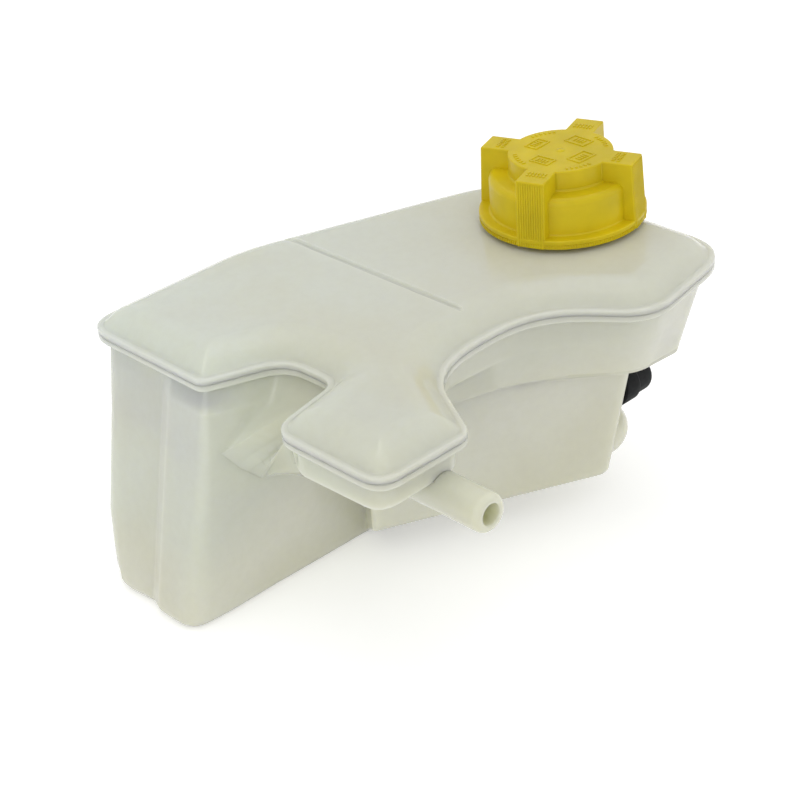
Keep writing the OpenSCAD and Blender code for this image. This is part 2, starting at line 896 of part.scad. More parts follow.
// Soft cap pushed on the upper stub, with its mouth cut to the slope of the end wall.
module blanking_cap() {
    color(black) at_neck()
        difference() {
            translate([blank_x, upper_stub_y, upper_stub_z])
                rotate([0, 90, 0])
                    rotate_extrude()
                        polygon(concat(
                            [[0, 0], [blank_r, 0], [blank_r, blank_collar_h], [blank_tip_r, blank_collar_h + 1]],
                            arc(blank_tip_r - blank_round, blank_h - blank_round, blank_round, 0, 90),
                            [[0, blank_h]]));
            translate([blank_x - past, upper_stub_y, upper_stub_z])
                rotate([0, 90, 0])
                    cylinder(r = stub_r + blank_fit, h = blank_h - blank_top_t + past);
            translate([end_wall_here, upper_stub_y, upper_stub_z])
                rotate([0, end_wall_slope, 0])
                    translate([-2 * blank_r, -2 * blank_r, -2 * blank_r])
                        cube([2 * blank_r, 4 * blank_r, 4 * blank_r]);
        }
}

module sleeve(at) {
    on_rear_wall(at)
        translate([0, ear_reach - ear_r, -sleeve_h / 2])
            difference() {
                cylinder(r = sleeve_r, h = sleeve_h);
                translate([0, 0, -past])
                    cylinder(r = sleeve_bore_r, h = sleeve_h + 2 * past);
            }
}

module left_sleeve() {
    color(steel) at_neck()
        sleeve(ear_walls[0]);
}

module right_sleeve() {
    color(steel) at_neck()
        sleeve(ear_walls[1]);
}

upper_shell();
lower_shell();
cap_shell();
valve_housing();
spring_cover();
neck_gasket();
housing_oring();
pressure_plate();
pressure_seal();
pressure_spring();
vacuum_poppet();
vacuum_spring();
vacuum_clip();
blanking_cap();
left_ear();
right_ear();
left_sleeve();
right_sleeve();
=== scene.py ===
import json
from math import asin, cos, degrees, hypot, pi, radians, sin

import bmesh
import bpy
from bpy.props import FloatProperty, FloatVectorProperty, IntProperty, PointerProperty
from mathutils import Matrix, Vector


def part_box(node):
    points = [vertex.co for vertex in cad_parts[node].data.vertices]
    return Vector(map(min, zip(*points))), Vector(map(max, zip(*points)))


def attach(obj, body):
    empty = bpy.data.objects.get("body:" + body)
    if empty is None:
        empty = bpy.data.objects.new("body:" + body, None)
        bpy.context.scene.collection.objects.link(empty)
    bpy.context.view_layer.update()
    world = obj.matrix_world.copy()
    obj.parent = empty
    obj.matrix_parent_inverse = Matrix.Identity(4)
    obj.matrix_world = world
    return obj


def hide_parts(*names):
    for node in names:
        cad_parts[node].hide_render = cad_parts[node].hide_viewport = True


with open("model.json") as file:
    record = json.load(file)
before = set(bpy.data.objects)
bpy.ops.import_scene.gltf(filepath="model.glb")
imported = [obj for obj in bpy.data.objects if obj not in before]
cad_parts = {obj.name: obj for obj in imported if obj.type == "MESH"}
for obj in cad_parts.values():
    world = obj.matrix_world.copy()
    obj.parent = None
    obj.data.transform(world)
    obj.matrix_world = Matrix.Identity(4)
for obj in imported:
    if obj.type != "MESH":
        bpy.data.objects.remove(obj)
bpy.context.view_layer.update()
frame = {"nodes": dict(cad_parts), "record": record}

bl_info = {
    "name": "Coolant expansion tank",
    "version": (1, 0, 0),
    "blender": (4, 5, 0),
    "location": "3D View > Sidebar > Tank",
    "description": "Dresses the coolant expansion tank: moulded shells, screw cap, stubs and studio",
    "category": "Add Mesh",
}

MM = 0.001

# The neck axis at the height of the cap's lower edge, from which all places are measured in millimetres.
_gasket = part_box("neck_gasket")
_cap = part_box("cap_shell")
NECK = Vector(((_gasket[0].x + _gasket[1].x) / 2, (_gasket[0].y + _gasket[1].y) / 2, _cap[0].z))


def at(x, y, z):
    """A place in the row frame, from millimetres about the neck."""
    return NECK + Vector((x, y, z)) * MM


# Sizes and colours.


class TankSizes(bpy.types.PropertyGroup):
    wall: FloatProperty(name="Wall", description="Thickness of the moulded walls, in mm", default=3.0)
    flange_w: FloatProperty(name="Flange width", description="Width of the weld flange, in mm", default=4.2)
    flange_t: FloatProperty(
        name="Flange half", description="Thickness of each flange half, in mm", default=2.8)
    corner_steps: IntProperty(
        name="Corner steps", description="Faces round each corner of the shells", default=8)
    cap_r: FloatProperty(
        name="Cap radius", description="Radius of the cap's lower flange, in mm",
        default=(_cap[1].x - _cap[0].x) / 2 / MM)
    cap_h: FloatProperty(
        name="Cap height", description="Height of the cap, in mm", default=(_cap[1].z - _cap[0].z) / MM)
    drum_r: FloatProperty(name="Drum radius", description="Radius of the cap's drum, in mm", default=30.2)
    hub_r: FloatProperty(name="Hub radius", description="Radius of the cap's hub, in mm", default=21.8)
    lug_reach: FloatProperty(name="Lug reach", description="Reach of the cap's lugs, in mm", default=33.6)
    lug_half: FloatProperty(
        name="Lug half width", description="Half the width of a lug, in mm", default=6.2)
    lug_turn: FloatProperty(
        name="Lug turn", description="Angle of the first lug", default=radians(20.1), subtype="ANGLE")
    relief_h: FloatProperty(
        name="Relief height", description="Height of the relief on the cap, in mm", default=0.4)
    rib_count: IntProperty(name="Lug ribs", description="Fine ribs on a lug's face", default=11)


class TankColours(bpy.types.PropertyGroup):
    milky: FloatVectorProperty(
        name="Shell", description="Colour of the milky shells", subtype="COLOR", size=3,
        default=(0.74, 0.80, 0.68))
    # Painted shade: a darker, warmer copy of the shell's colour, blended in towards the front, the right
    # and the bottom.
    milky_shaded_wall: FloatVectorProperty(
        name="Shell, walls", description="Colour of the walls below the flange", subtype="COLOR", size=3,
        default=(0.68, 0.69, 0.58))
    milky_warm: FloatVectorProperty(
        name="Shell, warm", description="Warmer patches of the shells", subtype="COLOR", size=3,
        default=(0.67, 0.65, 0.49))
    # Painted light: a lighter copy of the shell's colour, blended in on the right chamber's low walls.
    milky_lit_low: FloatVectorProperty(
        name="Shell, low right", description="Colour of the right chamber's walls", subtype="COLOR", size=3,
        default=(0.78, 0.78, 0.65))
    yellow: FloatVectorProperty(
        name="Cap", description="Colour of the cap", subtype="COLOR", size=3, default=(0.71, 0.55, 0.006))
    black: FloatVectorProperty(
        name="Black parts", description="Colour of rubber and black plastic", subtype="COLOR", size=3,
        default=(0.004, 0.0045, 0.005))


# Materials.


def new_material(name):
    """A material with a Principled surface, its nodes and its links."""
    material = bpy.data.materials.new("finish_" + name)
    material.use_nodes = True
    nodes, links = material.node_tree.nodes, material.node_tree.links
    return material, nodes["Principled BSDF"], nodes, links


def noise(nodes, links, scale, detail, roughness=0.5):
    """Noise on Object coordinates with a scale in cells a metre."""
    coords = nodes.new("ShaderNodeTexCoord")
    texture = nodes.new("ShaderNodeTexNoise")
    texture.inputs["Scale"].default_value = scale
    texture.inputs["Detail"].default_value = detail
    texture.inputs["Roughness"].default_value = roughness
    links.new(coords.outputs["Object"], texture.inputs["Vector"])
    return texture.outputs["Fac"]


def spread(nodes, links, value, low, high, to_low=0.0, to_high=1.0):
    """Maps a value from one range to another."""
    node = nodes.new("ShaderNodeMapRange")
    node.inputs["From Min"].default_value = low
    node.inputs["From Max"].default_value = high
    node.inputs["To Min"].default_value = to_low
    node.inputs["To Max"].default_value = to_high
    links.new(value, node.inputs["Value"])
    return node.outputs["Result"]


def blend_colours(nodes, links, factor, first, second):
    """Mixes two colours, each a value or a socket."""
    node = nodes.new("ShaderNodeMix")
    node.data_type = "RGBA"
    links.new(factor, node.inputs["Factor"])
    for socket, colour in ((node.inputs[6], first), (node.inputs[7], second)):
        if isinstance(colour, bpy.types.NodeSocket):
            links.new(colour, socket)
        else:
            socket.default_value = (*colour, 1)
    return node.outputs[2]


def bump(nodes, links, shader, height, strength, distance):
    """Raises a surface by a height pattern."""
    node = nodes.new("ShaderNodeBump")
    node.inputs["Strength"].default_value = strength
    node.inputs["Distance"].default_value = distance
    links.new(height, node.inputs["Height"])
    links.new(node.outputs["Normal"], shader.inputs["Normal"])


def gradient(nodes, links, direction, low, high):
    """From 0 to 1 along a direction on Object coordinates."""
    coords = nodes.new("ShaderNodeTexCoord")
    along = nodes.new("ShaderNodeVectorMath")
    along.operation = "DOT_PRODUCT"
    along.inputs[1].default_value = direction
    links.new(coords.outputs["Object"], along.inputs[0])
    return spread(nodes, links, along.outputs["Value"], low, high)


def milky_plastic(colours):
    """Milky moulded plastic that light sinks into: cool at the rear left, with painted shade that turns it
    darker and warmer towards the front, the right and the bottom, painted light on the right chamber's low
    walls, and patchy tone.
    """
    material, shader, nodes, links = new_material("milky_plastic")
    # Painted shade: the colour turns darker and warmer towards the front, the right and the bottom.
    painted_shade_front_low = gradient(nodes, links, (1.0, -1.2, -1.4), -0.36, -0.11)
    colour = blend_colours(nodes, links, painted_shade_front_low, colours.milky, colours.milky_shaded_wall)
    # Painted light: the right chamber's low walls are lightened.
    painted_light_low_right = gradient(nodes, links, (1.0, 0.0, -2.5), -0.20, -0.13)
    colour = blend_colours(nodes, links, painted_light_low_right, colour, colours.milky_lit_low)
    cloud = spread(nodes, links, noise(nodes, links, 15, 2.0, 0.45), 0.45, 0.72, 0.0, 0.6)
    colour = blend_colours(nodes, links, cloud, colour, colours.milky_warm)
    grain = spread(nodes, links, noise(nodes, links, 260, 3.0, 0.6), 0.35, 0.75, 0.0, 0.10)
    dusty = tuple(c * 0.8 for c in colours.milky_warm)
    links.new(blend_colours(nodes, links, grain, colour, dusty), shader.inputs["Base Color"])
    shader.inputs["Subsurface Weight"].default_value = 1.0
    shader.inputs["Subsurface Radius"].default_value = (1.0, 1.0, 0.8)
    shader.inputs["Subsurface Scale"].default_value = 0.008
    shader.inputs["IOR"].default_value = 1.45
    shader.inputs["Specular IOR Level"].default_value = 0.45
    shader.inputs["Roughness"].default_value = 0.15
    bump(nodes, links, shader, noise(nodes, links, 40, 3.0, 0.55), 0.10, 0.0006)
    return material


def yellow_plastic(colours):
    """Dense moulded plastic with a fine spark-eroded grain."""
    material, shader, nodes, links = new_material("yellow_plastic")
    patches = spread(nodes, links, noise(nodes, links, 60, 3.0), 0.35, 0.65)
    dark = tuple(c * 0.86 for c in colours.yellow)
    links.new(blend_colours(nodes, links, patches, colours.yellow, dark), shader.inputs["Base Color"])
    shader.inputs["Subsurface Weight"].default_value = 0.15
    shader.inputs["Subsurface Radius"].default_value = (1.0, 0.6, 0.05)
    shader.inputs["Subsurface Scale"].default_value = 0.0015
    shader.inputs["Specular IOR Level"].default_value = 0.28
    gloss = spread(nodes, links, noise(nodes, links, 300, 2.0), 0.3, 0.7, 0.34, 0.44)
    links.new(gloss, shader.inputs["Roughness"])
    bump(nodes, links, shader, noise(nodes, links, 1800, 2.0, 0.6), 0.10, 0.0001)
    return material


def dark_moulding(name, colour, roughness, grain):
    """Rubber or black plastic with a matt grain."""
    material, shader, nodes, links = new_material(name)
    patches = spread(nodes, links, noise(nodes, links, 120, 4.0), 0.3, 0.75)
    lighter = tuple(c * 1.7 for c in colour)
    links.new(blend_colours(nodes, links, patches, colour, lighter), shader.inputs["Base Color"])
    gloss = noise(nodes, links, 400, 2.0)
    gloss = spread(nodes, links, gloss, 0.3, 0.7, roughness - 0.06, roughness + 0.06)
    links.new(gloss, shader.inputs["Roughness"])
    shader.inputs["Specular IOR Level"].default_value = 0.25
    bump(nodes, links, shader, noise(nodes, links, grain, 2.0, 0.6), 0.15, 0.0001)
    return material


def bare_metal(name, colour, roughness, grain):
    """Metal with a fine drawn or turned grain."""
    material, shader, nodes, links = new_material(name)
    patches = spread(nodes, links, noise(nodes, links, 200, 4.0), 0.3, 0.7)
    dull = tuple(c * 0.75 for c in colour)
    links.new(blend_colours(nodes, links, patches, colour, dull), shader.inputs["Base Color"])
    shader.inputs["Metallic"].default_value = 1.0
    gloss = noise(nodes, links, grain, 3.0)
    gloss = spread(nodes, links, gloss, 0.3, 0.7, roughness - 0.08, roughness + 0.08)
    links.new(gloss, shader.inputs["Roughness"])
    bump(nodes, links, shader, noise(nodes, links, grain, 2.0, 0.6), 0.08, 0.00005)
    return material


FINISHES = {
    "milky_plastic": milky_plastic,
    "yellow_plastic": yellow_plastic,
    "black_plastic": lambda c: dark_moulding("black_plastic", c.black, 0.42, 900),
    "black_rubber": lambda c: dark_moulding("black_rubber", c.black, 0.62, 1400),
    "zinc_steel": lambda c: bare_metal("zinc_steel", (0.60, 0.61, 0.60), 0.34, 700),
    "spring_steel": lambda c: bare_metal("spring_steel", (0.42, 0.43, 0.44), 0.30, 1100),
    "brass": lambda c: bare_metal("brass", (0.75, 0.56, 0.25), 0.28, 900),
}


def finish_of(slot, context):
    """The material for one of the record's slots, made once."""
    return bpy.data.materials.get("finish_" + slot) or FINISHES[slot](context.scene.tank_colours)


# Mesh helpers.


def to_object(bm, name, slot, body, replaced, context, smooth=True):
    """Makes a piece of a bmesh: shaded, finished, riding on its body and standing for its CAD nodes."""
    mesh = bpy.data.meshes.new(name)
    for face in bm.faces:
        face.smooth = smooth
    bm.to_mesh(mesh)
    bm.free()
    piece = bpy.data.objects.new(name, mesh)
    context.scene.collection.objects.link(piece)
    mesh.materials.append(finish_of(slot, context))
    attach(piece, body)
    if replaced:
        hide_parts(*replaced)
    return piece


def tidy(bm):
    """Merges doubles and turns all faces outwards."""
    bmesh.ops.remove_doubles(bm, verts=bm.verts, dist=0.00002)
    bmesh.ops.recalc_face_normals(bm, faces=bm.faces)


def weighted(piece):
    """Keeps large flat faces flat beside rounded edges."""
    modifier = piece.modifiers.new("weighted", "WEIGHTED_NORMAL")
    modifier.keep_sharp = True
    modifier.weight = 60


def cut(piece, cutters, context):
    """Cuts closed meshes out of a piece and keeps the result as its mesh."""
    tools = []
    for bm in cutters:
        mesh = bpy.data.meshes.new("cutter")
        bm.to_mesh(mesh)
        bm.free()
        tool = bpy.data.objects.new("cutter", mesh)
        context.scene.collection.objects.link(tool)
        tools.append(tool)
        modifier = piece.modifiers.new("cut", "BOOLEAN")
        modifier.operation = "DIFFERENCE"
        modifier.solver = "EXACT"
        modifier.object = tool
    context.view_layer.update()
    mesh = bpy.data.meshes.new_from_object(piece.evaluated_get(context.evaluated_depsgraph_get()))
    old = piece.data
    piece.modifiers.clear()
    piece.data = mesh
    bpy.data.meshes.remove(old)
    for tool in tools:
        bpy.data.objects.remove(tool)


def arc(x, y, r, start, end, steps=6):
    """Points on an arc about x, y, from start to end degrees."""
    angles = [radians(start + (end - start) * i / steps) for i in range(steps + 1)]
    return [(x + r * cos(angle), y + r * sin(angle)) for angle in angles]


def turned(bm, profile, centre, axis="Z", steps=96):
    """Spins a profile of radius and height, in millimetres, about an axis through a place."""
    spin_axis = Vector({"X": (1, 0, 0), "Y": (0, 1, 0), "-Y": (0, -1, 0), "Z": (0, 0, 1)}[axis])
    side = Vector((0, 0, 1) if axis == "X" else (1, 0, 0))
    verts = [bm.verts.new(centre + side * r * MM + spin_axis * h * MM) for r, h in profile]
    edges = [bm.edges.new(pair) for pair in zip(verts, verts[1:])]
    bmesh.ops.spin(
        bm, geom=verts + edges, cent=centre, axis=spin_axis, angle=2 * pi, steps=steps, use_merge=True,
        use_duplicate=False)


def about_neck(z, angle):
    """A place on the neck's axis, turned about it."""
    return Matrix.Translation(at(0, 0, z)) @ Matrix.Rotation(angle, 4, "Z")


def cylinder(radius, low, high, segments=96):
    """A closed cylinder between two places, as a bmesh of its own."""
    bm = bmesh.new()
    span = high - low
    turn = Vector((0, 0, 1)).rotation_difference(span).to_matrix().to_4x4()
    bmesh.ops.create_cone(
        bm, cap_ends=True, segments=segments, radius1=radius * MM, radius2=radius * MM, depth=span.length,
        matrix=Matrix.Translation((low + high) / 2) @ turn)
    return bm


def extruded(bm, outline, height, matrix):
    """Extrudes a flat outline of x, y in millimetres by a height, and places it."""
    face = bm.faces.new([bm.verts.new(Vector((x, y, 0)) * MM) for x, y in outline])
    out = bmesh.ops.extrude_face_region(bm, geom=[face])
    top = [g for g in out["geom"] if isinstance(g, bmesh.types.BMVert)]
    bmesh.ops.translate(bm, verts=top, vec=Vector((0, 0, height * MM)))
    verts = list(set(top) | set(face.verts))
    bmesh.ops.transform(bm, matrix=matrix, verts=verts)
    return verts


# The shells' corners.


def part_way(high, low, share):
    """Corners part way down from one level to the next."""
    return [tuple(a + (b - a) * share for a, b in zip(*pair)) for pair in zip(high, low)]


# Each corner is x, y, z and the setback of its curve along its edges, in millimetres about the neck. The
# weld plan's corners get their height from at_height.
WELD_PLAN = [
    (-178, 98, 14), (-178, 54, 2), (-178, 46, 2), (-178, 24.5, 4), (-146, 11.5, 10), (-145.5, -16, 9),
    (-160.8, -19, 1), (-183.2, -23.5, 11), (-183.2, -81, 11), (-138.5, -81, 6), (-115.3, -36.5, 31),
    (-57.5, -36.5, 21), (-29.5, -75.2, 14), (30.5, -63.7, 20), (30.5, 51.6, 38), (-60, 83.9, 4),
    (-100.5, 98, 14),
]
NOSE_LEVEL = [
    (-177.8, 93.8, -24, 15), (-175, 54, -24, 1.5), (-177.6, 47, -24, 1.5), (-179, 23.8, -24, 2.5),
    (-150, 15, -26, 10), (-148, -12, -27, 8), (-170.9, -17.2, -19.3, 1.5), (-180.5, -33, -25.8, 5),
    (-181, -77.5, -24.2, 9), (-142, -77.5, -23.5, 8), (-115, -29, -28, 26), (-58, -31, -28, 20),
    (-25.5, -67, -28, 12), (15, -60.5, -28, 9), (15, 45, -28, 30), (-60, 78.5, -28, 4),
    (-100.5, 93, -26, 14),
]
LEDGE = -46
LEDGE_LEVEL = [
    (-182.8, 93.2, LEDGE, 17), (-180, 54, LEDGE, 1.5), (-182.7, 47, LEDGE, 1.5), (-182.7, 23, LEDGE, 6),
    (-175, 22.3, -41.5, 2), (-166, 22, -53.5, 4), (-157, 21.8, -62.3, 1.2), (-153.5, 21.7, -63.3, 1.2),
    (-136, 21.5, -60.5, 5), (-106, 21.5, -59, 3), (-117, 1, -50, 6), (-54.5, -28.5, LEDGE, 16),
    (-23, -58.8, LEDGE, 7), (3.5, -60.5, LEDGE, 5), (3.5, 43, LEDGE, 24), (-60, 77.5, LEDGE, 4),
    (-100.5, 92, LEDGE, 14),
]
UNDER = LEDGE - 1.5
CHAMBER_TOP = [
    (-183.2, 93.2, UNDER, 17), (-180.4, 54, UNDER, 1.5), (-183.2, 47, UNDER, 1.5), (-187.4, 23.5, -66, 6),
    (-176, 22.3, -66, 3), (-166, 22, -66, 4), (-157, 22, -66, 1.2), (-153.5, 22, -66, 1.2),
    (-137, 22, -66, 5), (-106, 22, -66, 3), (-117, 3.8, -54, 3), (-66, -20.5, UNDER, 10),
    (-8, -48.4, UNDER, 8), (-6, 0, UNDER, 10), (-6, 47.5, UNDER, 14), (-60, 77, UNDER, 4),
    (-100.5, 91.5, UNDER, 14),
]
BASE_ROUND = 4.5
END_WALL, FRONT, UNDERSIDE = (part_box("lower_shell")[0] - NECK) / MM
DEEP = UNDERSIDE + BASE_ROUND
SHALLOW = -104 + BASE_ROUND
BASE_LEVEL = [
    (END_WALL + 0.3, 92, DEEP, 28), (END_WALL + 2.8, 54, DEEP, 1.5), (END_WALL, 47, DEEP, 1.5),
    (END_WALL, 25.5, DEEP, 10), (-178, 24, DEEP, 3), (-166, 24, DEEP, 4), (-157, 24, DEEP, 1.2),
    (-153.5, 24, DEEP, 1.2), (-138, 23.6, DEEP, 5), (-105, 23, DEEP, 3), (-117, 4.2, SHALLOW, 3),
    (-66, -20, SHALLOW, 10), (-18, -43, SHALLOW, 9), (-17, 0, SHALLOW, 10), (-17, 51, SHALLOW, 15),
    (-60, 75, SHALLOW, 4), (-100.5, 90, DEEP, 14),
]
BAY_REAR, NOSE_REAR, NOSE_LEFT, NOSE_RIGHT, BAY_RIGHT, REAR_RIGHT, REAR_LEFT = 4, 7, 8, 9, 10, 15, 16
UNDER_NOSE = part_way(NOSE_LEVEL, LEDGE_LEVEL, 0.08)
UNDER_NOSE[NOSE_REAR] = (-175.5, -27.5, -28.5, 4)
UNDER_NOSE[NOSE_LEFT] = (-174.5, -71, -26.5, 8)
UNDER_NOSE[NOSE_RIGHT] = (-147, -71, -26, 8)
# The inner wall's corners behind the scooped bay, at the height of the nose's floor and behind the crease.
INSIDE_SCOOP = [(-144, 18, -25, 6), (-142, -15, -25, 6), (-158, -26, -21, 1.2), (-173, -38, -21.5, 4)]
INSIDE_CREASE = [(-172, 27, -48, 1.5), (-160, 27.5, -59, 1.5), (-150, 27.5, -64, 1.2), (-146, 27, -60, 1.2)]
WELD_Z = -12
ROOF_Z = -1.7
SHOULDER = [(17.5, ROOF_Z), (14, -2.05), (10.8, -3.1), (7.8, -4.7), (5.4, -6.7), (3.5, -8.4), (2.3, -9.15)]
NECK_TOP = 12
BAFFLE_X = -84.5
LEAST_SETBACK = 1.2
# Turns an outline of x and y to stand across the tank: its x along Y and its y up.
UPRIGHT = Matrix(((0, 0, 1, 0), (1, 0, 0, 0), (0, 1, 0, 0), (0, 0, 0, 1)))


def foot(share, setback, pull):
    """The outer wall part way down to its base, with its own curve at the rear left corner."""
    corners = part_way(CHAMBER_TOP, BASE_LEVEL, share)
    x, y, z, _ = corners[0]
    corners[0] = (x, y - pull, z, setback)
    return corners


def smooth_through(points, steps):
    """Points on a smooth curve through the given ones."""
    ends = [points[0]] + points + [points[-1]]
    curve = []
    for a, b, c, d in zip(ends, ends[1:], ends[2:], ends[3:]):
        for s in range(steps):
            t = s / steps
            curve.append(tuple(
                0.5 * (2 * q + (r - p) * t + (2 * p - 5 * q + 4 * r - w) * t * t
                       + (3 * q - p - 3 * r + w) * t ** 3)
                for p, q, r, w in zip(a, b, c, d)))
    return curve + [points[-1]]


def at_height(plan, z):
    """Plan corners lifted to one height."""
    return [(x, y, z, setback) for x, y, setback in plan]


def inset(corners, d, dz=0.0):
    """Corners moved into the body by d, with their curves kept parallel, and lifted by dz."""
    moved = []
    for i, (x, y, z, setback) in enumerate(corners):
        bx, by = corners[i - 1][:2]
        ax, ay = corners[(i + 1) % len(corners)][:2]
        l1, l2 = hypot(x - bx, y - by), hypot(ax - x, ay - y)
        n1 = (-(y - by) / l1, (x - bx) / l1)
        n2 = (-(ay - y) / l2, (ax - x) / l2)
        k = 1 + n1[0] * n2[0] + n1[1] * n2[1]
        turn = n1[0] * n2[1] - n1[1] * n2[0]
        moved.append((
            x + (n1[0] + n2[0]) * d / k, y + (n1[1] + n2[1]) * d / k, z + dz,
            max(setback - d * turn / k, LEAST_SETBACK)))
    return moved


def ring(corners, steps):
    """A closed ring of places: each corner becomes a curve that leaves its edges smoothly."""
    places = []
    for i, corner in enumerate(corners):
        c = Vector(corner[:3])
        to_b = Vector(corners[i - 1][:3]) - c
        to_a = Vector(corners[(i + 1) % len(corners)][:3]) - c
        p = c + to_b * min(corner[3] / to_b.length, 0.48)
        q = c + to_a * min(corner[3] / to_a.length, 0.48)
        for s in range(steps + 1):
            t = s / steps
            places.append(p * (1 - t) ** 2 + c * 2 * t * (1 - t) + q * t * t)
    return places


def between(first, second, count):
    """Rings part way from one ring to the next."""
    return [[a.lerp(b, n / count) for a, b in zip(first, second)] for n in range(1, count)]


def loft(bm, rings):
    """Extrudes a closed ring of places through the others and returns its first and last vertices."""
    verts = [bm.verts.new(at(*place)) for place in rings[0]]
    first = verts
    for places in rings[1:]:
        edges = [bm.edges.get((a, b)) or bm.edges.new((a, b)) for a, b in zip(verts, verts[1:] + verts[:1])]
        out = bmesh.ops.extrude_edge_only(bm, edges=edges)
        new = {g for g in out["geom"] if isinstance(g, bmesh.types.BMVert)}
        verts = [next(e.other_vert(v) for e in v.link_edges if e.other_vert(v) in new) for v in verts]
        for vert, place in zip(verts, places):
            vert.co = at(*place)
    return first, verts


def crisp(bm, low, high, angle):
    """Marks the folds sharper than an angle as sharp inside a box given in millimetres about the neck."""
    low, high = at(*low), at(*high)
    for edge in bm.edges:
        middle = (edge.verts[0].co + edge.verts[1].co) / 2
        if all(a < m < b for a, m, b in zip(low, middle, high)) and edge.is_manifold:
            edge.smooth = edge.calc_face_angle() < angle


def base_faces(bm, verts, steps):
    """Fills the lowest ring with the deep floor, the shallow floor and the step between them."""
    per = steps + 1
    deep = verts[REAR_LEFT * per:] + verts[:(NOSE_RIGHT + 1) * per]
    shallow = verts[BAY_RIGHT * per:(REAR_RIGHT + 1) * per]
    step = [verts[i] for i in (BAY_RIGHT * per - 1, BAY_RIGHT * per, REAR_LEFT * per - 1, REAR_LEFT * per)]
    for face in (deep, shallow, step):
        bm.faces.new(face)


# Operators.


class TANK_OT_upper_shell(bpy.types.Operator):
    """Moulds the roof with its weld flange, the neck and its thread"""

    bl_idname = "tank.upper_shell"
    bl_label = "Upper shell"

    def execute(self, context):
        sizes = context.scene.tank_sizes
        weld = at_height(WELD_PLAN, WELD_Z)
        lip = WELD_Z + sizes.flange_t
        profile = smooth_through(SHOULDER, 3) + [
            (1.0, lip), (0.5, lip - 0.12), (0.12, lip - 0.45), (0, lip - 0.9), (0, WELD_Z + 0.3),
            (0.08, WELD_Z + 0.1), (0.22, WELD_Z), (sizes.flange_w + sizes.wall, WELD_Z), (8.6, -9.2),
            (11, -6.7), (14, -5.2), (17.5, ROOF_Z - sizes.wall),
        ]
        bm = bmesh.new()
        rings = [ring(inset(weld, d, z - WELD_Z), sizes.corner_steps) for d, z in profile]
        crown, ceiling = loft(bm, rings)
        bm.faces.new(crown)
        bm.faces.new(ceiling)
        bmesh.ops.recalc_face_normals(bm, faces=bm.faces)
        shell = to_object(bm, "roof_moulding", "milky_plastic", "tank", ["upper_shell"], context)
        neck_bore = (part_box("valve_housing")[1].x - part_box("valve_housing")[0].x) / 2 / MM - 4
        cut(shell, [cylinder(neck_bore, at(0, 0, -20), at(0, 0, 10)), self.groove()], context)
        weighted(shell)
        self.neck(context, neck_bore)
        return {"FINISHED"}

    def groove(self):
        """A round bar along the line where the baffle meets the roof, and down the rear shoulder."""
        r, depth, front, rear, slant = 2.2, 0.9, -26, 92.4, 1.06
        path = [(front - 3, ROOF_Z + r + 0.2), (front, ROOF_Z + r - depth)]
        path += [(rear - slant * d, z + r - depth) for d, z in smooth_through(SHOULDER, 2)]
        path += [(rear + 4, -9.6 + r)]
        bm = bmesh.new()
        ends = loft(bm, [
            [Vector((BAFFLE_X + x, y, z + h)) for x, h in arc(0, 0, r, 0, 330, 11)] for y, z in path])
        for end in ends:
            bm.faces.new(end)
        bmesh.ops.recalc_face_normals(bm, faces=bm.faces)
        return bm

    def neck(self, context, bore):
        outer, rim, root = 24.0, 0.6, 2.4
        bm = bmesh.new()
        profile = [(bore, ROOF_Z - 3), (bore, NECK_TOP - rim), (bore + rim, NECK_TOP)]
        profile += [(outer - rim, NECK_TOP)] + arc(outer - rim, NECK_TOP - rim, rim, 90, 0, 4)
        profile += [(outer, ROOF_Z + root)] + arc(outer + root, ROOF_Z + root, root, 180, 270)
        profile += [(outer + root, ROOF_Z - 1), (bore, ROOF_Z - 3)]
        turned(bm, profile, at(0, 0, 0))
        for start in range(3):
            for step in range(2):
                self.thread(bm, outer, start * 120 + step * 40, 4.5 + 1.1 * step)
        tidy(bm)
        neck = to_object(bm, "neck_moulding", "milky_plastic", "tank", [], context)
        weighted(neck)

    def thread(self, bm, outer, angle, z):
        """One ridge of the interrupted thread."""
        profile = [(-1, 0), (0.7, 0.35), (1.2, 0.9), (1.2, 1.3), (0.7, 1.85), (-1, 2.2)]
        turn = Matrix.Rotation(radians(angle), 3, "Z")
        verts = [bm.verts.new(at(*(turn @ Vector((outer + r, 0, z + h))))) for r, h in profile]
        face = bm.faces.new(verts)
        bmesh.ops.spin(
            bm, geom=[face], cent=at(0, 0, 0), axis=(0, 0, 1), angle=radians(36), steps=14,
            use_duplicate=False)


